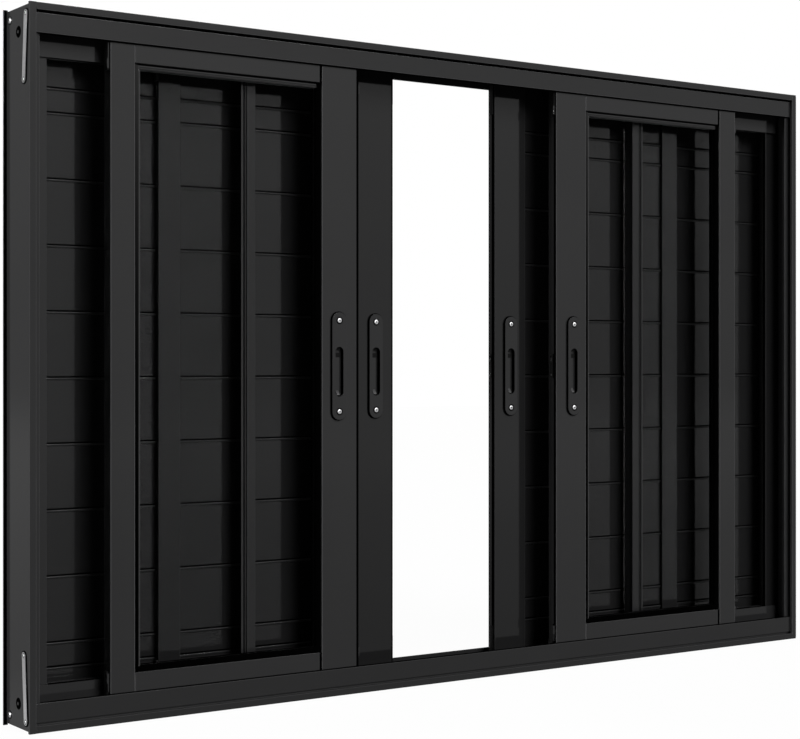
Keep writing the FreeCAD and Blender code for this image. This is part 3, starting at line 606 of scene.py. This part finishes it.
def pull_details(name):
    """Black seam round the plate, screws in dark seats, and the black lining, ramps and pale catch
    inside; seam and lining are painted shade, the catch painted light.
    """
    low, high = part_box(name)
    middle = (low[0] + high[0]) / 2
    front = low[1]
    floor = front + RECESS_DEPTH
    level = (low[2] + high[2]) / 2
    width = high[0] - low[0]
    height = high[2] - low[2]
    seam, seats, heads, crosses = Shape(), Shape(), Shape(), Shape()
    seam.ring(stadium((middle, level), width + 0.0018, height + 0.0026),
              stadium((middle, level), width - 0.0004, height - 0.0004),
              "y", front + 0.0014, front + 0.0040)
    seam.done(name + "_seam", RUBBER, "nylon")
    for spot in (PULL_LEVEL - PULL_SCREW_REACH, PULL_LEVEL + PULL_SCREW_REACH):
        seats.turn([(0.0056, 0.0001), (0.0055, -0.0002), (0.0034, -0.0002)],
                   (middle, front, spot), "y")
        screw(heads, crosses, (middle, front - 0.0002, spot), *PULL_SCREW)
    seats.done(name + "_screw_seats", RUBBER, "nylon")
    heads.done(name + "_screws", SCREW_STEEL, "zinc_steel")
    crosses.done(name + "_screw_recesses", RUBBER, "nylon")
    inner = RECESS_WIDTH / 2 - 0.0001
    centre = level - RECESS_DROP
    top = centre + RECESS_HEIGHT / 2
    foot = centre - RECESS_HEIGHT / 2
    lining = Shape()
    lining.ring(stadium((middle, centre), 2 * inner, RECESS_HEIGHT - 0.0002),
                stadium((middle, centre), 2 * inner - 0.0014, RECESS_HEIGHT - 0.0030),
                "y", front + 0.0013, floor + 0.0001)
    lining.done(name + "_lining", RUBBER, "nylon")
    ramp = Shape()
    for end, way in ((top - 0.0016, -1), (foot + 0.0012, 1)):
        rings = []
        length = 0.0068 if way < 0 else 0.0060
        for share in (0.0, 0.2, 0.4, 0.6, 0.8, 1.0):
            depth = front + 0.0016 + (RECESS_DEPTH - 0.0016) * math.sin(share * math.pi / 2)
            place = end + way * length * share
            off = inner - abs(place - (top if way < 0 else foot))
            reach = math.sqrt(max(0.12, 1 - (max(0.0, off) / inner) ** 2)) * (inner - 0.0008)
            rings.append((place, block((middle - reach, depth), (middle + reach, floor + 0.0001))))
        ramp.loft(rings, "z")
    ramp.done(name + "_ramps", PULL_COAT, "pull_coat")
    pocket = Shape()
    pocket.extrude(block((middle - inner + 0.0008, top - 0.0158),
                         (middle + inner - 0.0008, top - 0.0088)),
                   "y", floor - 0.0004, floor + 0.0001)
    pocket.done(name + "_pocket", POCKET_PLASTIC, "latch_plastic")
    # Pale wedge at the foot of the recess: painted light on the recess's lit lower wall.
    catch = Shape()
    catch.extrude([(floor + 0.0001, foot + 0.0020), (floor - 0.0040, foot + 0.0024),
                   (floor - 0.0036, foot + 0.0036), (floor - 0.0004, foot + 0.0092),
                   (floor + 0.0001, foot + 0.0096)],
                  "x", middle - 0.0034, middle + 0.0016)
    catch.done(name + "_catch", PALE_SCREW_AND_PAINTED_LIGHT_COAT, "pull_coat")


def slider_clips():
    """Clip and stop on the front of each slider block of the sashes."""
    clips, stops = Shape(), Shape()
    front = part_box("sash_sliders")[0][1] + 0.0001
    for side in SIDES:
        for stile in ("_sash_outer_stile", "_sash_meeting_stile"):
            low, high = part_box(side + stile)
            on_left = (side == "left") == (stile == "_sash_outer_stile")
            edge, out = (low[0], -1) if on_left else (high[0], 1)
            near, far = span(edge, out, 0.0004, 0.0027)
            for foot, head in SLIDER_CLIPS:
                clips.extrude(rounded((near, front - 0.0036), (far, front), 0.0006), "z",
                              foot, head)
            near, far = span(edge, out, 0.0008, 0.0044)
            for level in SLIDER_STOPS:
                stops.extrude(rounded((near, front - 0.0044), (far, front), 0.0008), "z",
                              level - SLIDER_STOP_REACH, level + SLIDER_STOP_REACH)
    clips.done("slider_clips", SASH_COAT, "leaf_coat")
    stops.done("slider_stops", SASH_COAT, "leaf_coat")


def latch_details():
    """Keeper block, face plate and screws on each edge latch; the block's hole is a black disc,
    painted shade.
    """
    blocks, plates, heads, crosses, holes = Shape(), Shape(), Shape(), Shape(), Shape()
    for side in SIDES:
        out = -OUTWARD[side]
        for leaf, latch_back in (("_sash", 0.0065), ("_leaf", 0.0050)):
            low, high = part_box(side + leaf + "_meeting_stile")
            edge = high[0] if side == "left" else low[0]
            near = low[1] + latch_back
            middle = near + LATCH_WIDTH / 2
            block_face = edge + out * LATCH_STANDS + out * LATCH_BLOCK_STANDS
            plate_face = edge + out * LATCH_STANDS + out * LATCH_PLATE_STANDS
            blocks.extrude(rounded((near, LATCH_HEAD - LATCH_BLOCK_HEIGHT),
                                   (near + LATCH_WIDTH, LATCH_HEAD), 0.0008),
                           "x", edge, block_face)
            plates.extrude(rounded((near + 0.0008, LATCH_FOOT + 0.001),
                                   (near + 0.0062, LATCH_HEAD - 0.0145), 0.0008),
                           "x", edge, plate_face)
            holes.turn([(0.0019, 0.0), (0.0019, out * 0.0001)],
                       (block_face, middle, LATCH_HEAD - 0.0045), "x")
            screw(heads, crosses, (block_face, middle, LATCH_HEAD - 0.0098), *LATCH_SCREW,
                  "x", out)
            screw(heads, crosses, (plate_face, middle, LATCH_FOOT + 0.005), *LATCH_SCREW,
                  "x", out)
    blocks.done("latch_blocks", LATCH_PLASTIC, "latch_plastic")
    plates.done("latch_plates", LEAF_COAT, "leaf_coat")
    holes.done("latch_holes", RUBBER, "nylon")
    heads.done("latch_screws", PALE_SCREW_AND_PAINTED_LIGHT_COAT, "zinc_steel")
    crosses.done("latch_screw_recesses", RUBBER, "nylon")


def anchor_straps(side, out):
    """Zinc strap with its screws on a black pad, whose rim round the strap is painted shade, at
    both ends of the jamb's outer face.
    """
    low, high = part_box(side + "_anchor_straps")
    face = JAMB_FACE * out
    middle = (low[1] + high[1]) / 2
    pads, straps, seats, heads, crosses = Shape(), Shape(), Shape(), Shape(), Shape()
    for level, lean in ((low[2] + STRAP_FOOT_INSET, STRAP_LEAN),
                        (high[2] - STRAP_HEAD_INSET, -STRAP_LEAN)):
        pads.extrude(stadium((middle, level), STRAP_PAD_WIDTH, STRAP_PAD_LENGTH, lean), "x",
                     face, face + out * STRAP_PAD_STANDS)
        straps.extrude(stadium((middle, level), STRAP_WIDTH, STRAP_LENGTH, lean), "x",
                       face + out * STRAP_PAD_STANDS, face + out * STRAP_STANDS)
        for reach in (-STRAP_SCREW_REACH, STRAP_SCREW_REACH):
            spot = (face + out * STRAP_STANDS, middle + reach * math.sin(lean),
                    level + reach * math.cos(lean))
            seats.turn([(0.0034, -0.0001 * out), (0.0034, 0.0001 * out),
                        (0.0026, 0.0001 * out)], spot, "x")
            screw(heads, crosses, spot, *STRAP_SCREW, "x", out)
    seats.done(side + "_strap_screw_seats", POCKET_PLASTIC, "nylon")
    pads.done(side + "_strap_pads", RUBBER, "nylon", side + "_anchor_straps")
    straps.done(side + "_straps", ZINC_STEEL, "zinc_steel", side + "_anchor_straps")
    heads.done(side + "_strap_screws", ZINC_STEEL, "zinc_steel")
    crosses.done(side + "_strap_screw_recesses", RUBBER, "nylon")


def jamb_details(side, out):
    """Hole caps, corner screws and the black seal on the weather lip."""
    face = JAMB_FACE * out
    caps, rims, heads, crosses, seats, seal = (Shape() for _ in range(6))
    for level in ANCHOR_LEVELS:
        spot = (face, ANCHOR_PLACE, level)
        caps.turn([(0.0069, -0.0012 * out), (0.0082, 0.0001 * out), (0.0078, 0.0005 * out),
                   (0.0030, 0.0005 * out)], spot, "x")
        rims.turn([(0.0024, 0.0), (0.0024, 0.0008 * out), (0.0014, 0.0010 * out)], spot, "x")
    for level in CORNER_SCREW_LEVELS:
        seats.turn([(0.0058, 0.0), (0.0058, 0.0002 * out), (0.0040, 0.0003 * out)],
                   (face, CORNER_SCREW_PLACE, level), "x")
        screw(heads, crosses, (face + 0.0002 * out, CORNER_SCREW_PLACE, level), *CORNER_SCREW,
              "x", out)
    low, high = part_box(side + "_jamb")
    tip = low[0] if out < 0 else high[0]
    seal.extrude(rounded((min(face, tip) + 0.0001, WEATHER_SEAL[0]),
                         (max(face, tip) - 0.0001, WEATHER_SEAL[1]), 0.0003),
                 "z", low[2] + 0.001, high[2] - 0.001)
    caps.done(side + "_hole_caps", RUBBER, "nylon")
    rims.done(side + "_hole_cap_rims", JAMB_COAT, "frame_coat")
    seats.done(side + "_corner_screw_seats", RUBBER, "nylon")
    heads.done(side + "_corner_screws", ZINC_STEEL, "zinc_steel", "corner_screws")
    crosses.done(side + "_corner_screw_recesses", RUBBER, "nylon")
    seal.done(side + "_weather_seal", RUBBER, "nylon")


def meeting_gaskets():
    """Black bumper strips on the four meeting edges; the left sash's wraps its front corner. Their
    black also stands as painted shade in the gaps beside the edges.
    """
    shape = Shape()
    for side in SIDES:
        out = -OUTWARD[side]
        for leaf, stands in (("_sash", 0.0020), ("_leaf", 0.0030)):
            low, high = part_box(side + leaf + "_meeting_stile")
            edge = high[0] if side == "left" else low[0]
            near, far = span(edge, out, 0, stands)
            shape.extrude(rounded((near, low[1] + 0.0008), (far, low[1] + 0.0046), 0.0008), "z",
                          low[2] + 0.001, high[2] - 0.001)
            if (side, leaf) == ("left", "_sash"):
                shape.extrude(rounded((edge - 0.0028, low[1] - 0.0002),
                                      (edge + 0.0004, low[1] + 0.0020), 0.0002), "z",
                              low[2] + 0.001, high[2] - 0.001)
    shape.done("meeting_gaskets", RUBBER, "nylon")


def painted_shade_strips():
    """Black strips as painted shade in the sash joints, under the head, on the sill and in the
    head's groove.
    """
    shape = Shape()
    for stile in ("left_sash_meeting_stile", "right_sash_outer_stile"):
        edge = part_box(stile)[0][0] + GLASS_HOLD + GLASS_GROWN
        for foot, head in SASH_RAILS:
            shape.extrude(block((edge - 0.0042, SASH_FACE - 0.00015),
                                (edge - 0.0006, SASH_FACE + 0.0005)), "z", foot, head)
    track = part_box("head_track")
    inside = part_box("left_light_bars")[0][0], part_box("right_light_bars")[1][0]
    for foot, head in ((HEAD_LEG - 0.0017, HEAD_LEG + 0.0001),
                       (SILL_LEG - 0.0001, SILL_LEG + 0.0011)):
        shape.extrude(block((LEG_STRIP_FRONT, foot), (SASH_FACE - 0.0001, head)), "x", *inside)
    shape.extrude(block((GROOVE_STRIP[0], HEAD_GROOVE[0] + 0.0001),
                        (GROOVE_STRIP[1], HEAD_GROOVE[1] - 0.0001)),
                  "x", track[0][0] + GROOVE_STRIP_INSET, track[1][0] - GROOVE_STRIP_INSET)
    shape.done("painted_shade_strips", RUBBER, "nylon")


for side in SIDES:
    sash_gaskets(side)
slider_clips()
light_gaskets()
post_beads()
for bay in ("left_leaf_slats", "right_leaf_slats", "left_louvre_slats", "right_louvre_slats"):
    slat_details(bay)
for side in SIDES:
    pull_details(side + "_sash_pull")
    pull_details(side + "_leaf_pull")
latch_details()
for side, out in OUTWARD.items():
    anchor_straps(side, out)
for side, out in OUTWARD.items():
    jamb_details(side, out)
meeting_gaskets()
painted_shade_strips()


# Room, light and camera.

def studio_floor():
    """Pale floor that stays white to the eye and still takes the window's soft shadow.

    In gloss it glows with painted shade: dark at the foot of the window, brighter outwards,
    and dimmer behind the window.
    """
    nodes = Nodes("studio_floor")
    lit = nodes.add("ShaderNodeBsdfDiffuse")
    lit.inputs["Color"].default_value = (FLOOR_TONE, FLOOR_TONE, FLOOR_TONE, 1)
    bright = nodes.add("ShaderNodeEmission")
    bright.inputs["Strength"].default_value = FLOOR_LIGHT
    seen = nodes.add("ShaderNodeLightPath")
    to_eye = nodes.add("ShaderNodeMath", operation="MULTIPLY")
    to_eye.inputs[1].default_value = FLOOR_LIGHT_SHARE
    distance = nodes.add("ShaderNodeVectorMath", operation="LENGTH")
    spot = nodes.place()
    nodes.join(spot, distance.inputs[0])
    axes = nodes.add("ShaderNodeSeparateXYZ")
    nodes.join(spot, axes.inputs[0])
    in_gloss = nodes.add("ShaderNodeMath", operation="MULTIPLY")
    dimmed = nodes.add("ShaderNodeMath", operation="MULTIPLY")
    share = nodes.add("ShaderNodeMath", operation="MAXIMUM")
    mix = nodes.add("ShaderNodeMixShader")
    output = nodes.add("ShaderNodeOutputMaterial")
    nodes.join(seen.outputs["Is Camera Ray"], to_eye.inputs[0])
    nodes.join(nodes.ramp(distance.outputs["Value"], 0.26, 0.57, start=0.4, end=7.0),
               dimmed.inputs[0])
    nodes.join(nodes.ramp(axes.outputs["Y"], 1.0, 0.44, start=0.0, end=0.5), dimmed.inputs[1])
    nodes.join(dimmed.outputs[0], in_gloss.inputs[0])
    nodes.join(seen.outputs["Is Glossy Ray"], in_gloss.inputs[1])
    nodes.join(to_eye.outputs[0], share.inputs[0])
    nodes.join(in_gloss.outputs[0], share.inputs[1])
    nodes.join(share.outputs[0], mix.inputs[0])
    nodes.join(lit.outputs[0], mix.inputs[1])
    nodes.join(bright.outputs[0], mix.inputs[2])
    nodes.join(mix.outputs[0], output.inputs["Surface"])
    mesh = bpy.data.meshes.new("studio_floor")
    mesh.from_pydata([(x, y, 0) for x, y in block((-FLOOR_REACH,) * 2, (FLOOR_REACH,) * 2)],
                     [], [(0, 1, 2, 3)])
    mesh.materials.append(nodes.material)
    link(bpy.data.objects.new("studio_floor", mesh))


def studio_world():
    """White surroundings to the eye and dim ambient light.

    In gloss they brighten upwards, and dim towards the sides and behind the window.
    """
    world = bpy.data.worlds.new("studio")
    world.use_nodes = True
    tree = world.node_tree
    tree.nodes.clear()
    links = tree.links

    def backdrop(strength):
        node = tree.nodes.new("ShaderNodeBackground")
        node.inputs["Color"].default_value = (1, 1, 1, 1)
        node.inputs["Strength"].default_value = strength
        return node

    def blend(first, second, share):
        node = tree.nodes.new("ShaderNodeMixShader")
        links.new(share, node.inputs[0])
        links.new(first.outputs[0], node.inputs[1])
        links.new(second.outputs[0], node.inputs[2])
        return node

    def spread(value, low, high, start, end):
        node = tree.nodes.new("ShaderNodeMapRange")
        node.inputs["From Min"].default_value = start
        node.inputs["From Max"].default_value = end
        node.inputs["To Min"].default_value = low
        node.inputs["To Max"].default_value = high
        links.new(value, node.inputs["Value"])
        return node.outputs[0]

    def combine(operation, first, second):
        node = tree.nodes.new("ShaderNodeMath")
        node.operation = operation
        links.new(first, node.inputs[0])
        links.new(second, node.inputs[1])
        return node.outputs[0]

    paths = tree.nodes.new("ShaderNodeLightPath")
    to_eye = combine("MAXIMUM", paths.outputs["Is Camera Ray"],
                     paths.outputs["Is Transmission Ray"])
    direction = tree.nodes.new("ShaderNodeTexCoord")
    axes = tree.nodes.new("ShaderNodeSeparateXYZ")
    links.new(direction.outputs["Generated"], axes.inputs[0])
    rise = spread(axes.outputs["Z"], 0.67, 1.0, start=0.0, end=0.17)
    behind = spread(axes.outputs["Y"], 1.0, 0.40, start=-0.2, end=0.4)
    across = spread(axes.outputs["Y"], 1.12, 0.76, start=-0.94, end=-0.66)
    level = combine("MULTIPLY", rise, combine("MULTIPLY", across, behind))
    in_gloss = backdrop(1.0)
    links.new(level, in_gloss.inputs["Strength"])
    unseen = blend(backdrop(AMBIENT), in_gloss, paths.outputs["Is Glossy Ray"])
    whole = blend(unseen, backdrop(1.0), to_eye)
    output = tree.nodes.new("ShaderNodeOutputWorld")
    links.new(whole.outputs[0], output.inputs["Surface"])
    bpy.context.scene.world = world


def far_lamp(name, turn, rise, spread, level):
    """Distant soft light; turn, rise and spread are in degrees, turn from -Y towards +X."""
    light = bpy.data.lights.new(name, "SUN")
    light.angle = math.radians(spread)
    light.energy = level * math.pi
    lamp = link(bpy.data.objects.new(name, light))
    turn, rise = math.radians(turn), math.radians(rise)
    source = Vector((math.sin(turn) * math.cos(rise), -math.cos(turn) * math.cos(rise),
                     math.sin(rise)))
    lamp.location = 5 * source
    lamp.rotation_euler = source.to_track_quat("Z", "Y").to_euler()


def studio_lights():
    """Key light from the room's right, weak light on the back, and one on the left jamb."""
    far_lamp("front_lamp", turn=18, rise=32, spread=36, level=1.06)
    far_lamp("back_lamp", turn=165, rise=12, spread=30, level=0.5)
    far_lamp("side_lamp", turn=-90, rise=12, spread=10, level=1.10)


def photo_camera():
    """Camera at the photograph's place, upright and shifted to its horizon."""
    camera = bpy.data.cameras.new("photo_camera")
    camera.lens = LENS
    camera.sensor_width = 36.0
    camera.shift_y = (HORIZON_PIXEL - PHOTO_HEIGHT / 2) / PHOTO_WIDTH
    camera.clip_start = 0.05
    holder = link(bpy.data.objects.new("photo_camera", camera))
    holder.location = CAMERA_PLACE
    holder.rotation_euler = (math.pi / 2, 0, -CAMERA_TURN)
    bpy.context.scene.camera = holder


photo_camera()
studio_world()
studio_lights()
studio_floor()
finish_nodes()
ease_edges()

scene = bpy.context.scene
scene.view_settings.view_transform = "Standard"
